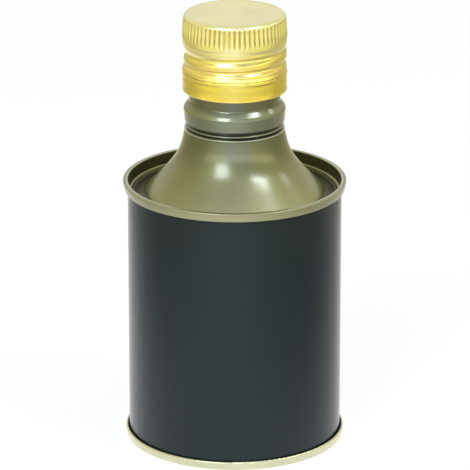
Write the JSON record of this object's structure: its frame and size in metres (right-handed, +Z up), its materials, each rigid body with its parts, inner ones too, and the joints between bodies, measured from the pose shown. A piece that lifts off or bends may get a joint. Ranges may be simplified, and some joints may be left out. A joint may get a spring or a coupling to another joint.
{
  "type": "olive oil tin with spout",
  "caption": "Round metal oil tin with seamed ends, a cone top, a beaded threaded neck with a pourer insert, and a knurled screw cap above a tamper band.",
  "frame": {"origin": "middle of the face that the tin stands on, on its axis", "axes": "+Z up along the tin's axis, -Y is the front, the welded side seam is at the back on +Y"},
  "size_m": [0.0685, 0.0686, 0.1356],
  "materials": {
    "body_lacquer": "satin dark blue-green lacquer on tinplate",
    "dome_lacquer": "glossy olive lacquer on tinplate",
    "neck_lacquer": "glossy olive lacquer on tinplate",
    "end_lacquer": "pale gold varnish on tinplate",
    "cap_metal": "gold lacquered aluminium",
    "sealing_compound": "dull",
    "gasket_rubber": "dull",
    "pourer_plastic": "moulded polyethylene",
    "liner_foam": "soft foam"
  },
  "bodies": {
    "tin": {"body_wall": "body_lacquer", "bottom_end": "end_lacquer", "bottom_seam_compound": "sealing_compound", "dome_top": "dome_lacquer", "top_seam_compound": "sealing_compound", "neck_finish": "neck_lacquer", "neck_joint_gasket": "gasket_rubber", "pourer_insert": "pourer_plastic"},
    "band": {"tamper_band": "cap_metal"},
    "liner": {"cap_liner": "liner_foam"},
    "cap": {"cap_shell": "cap_metal"}
  },
  "joints": [
    {"name": "cap_rise", "type": "slide", "parent": "tin", "child": "liner", "axis": [0, 0, 1], "range_m": [0, 0.0187]},
    {"name": "cap_turn", "type": "hinge", "parent": "liner", "child": "cap", "pos_m": [0, 0, 0.135], "axis": [0, 0, 1], "range_deg": [0, 1800]},
    {"name": "band_spin", "type": "hinge", "parent": "tin", "child": "band", "pos_m": [0, 0, 0.1145], "axis": [0, 0, 1], "continuous": true}
  ],
  "couplings": [
    {"joint": "cap_rise", "follows": "cap_turn", "m_per_rad": 0.00058887}
  ]
}
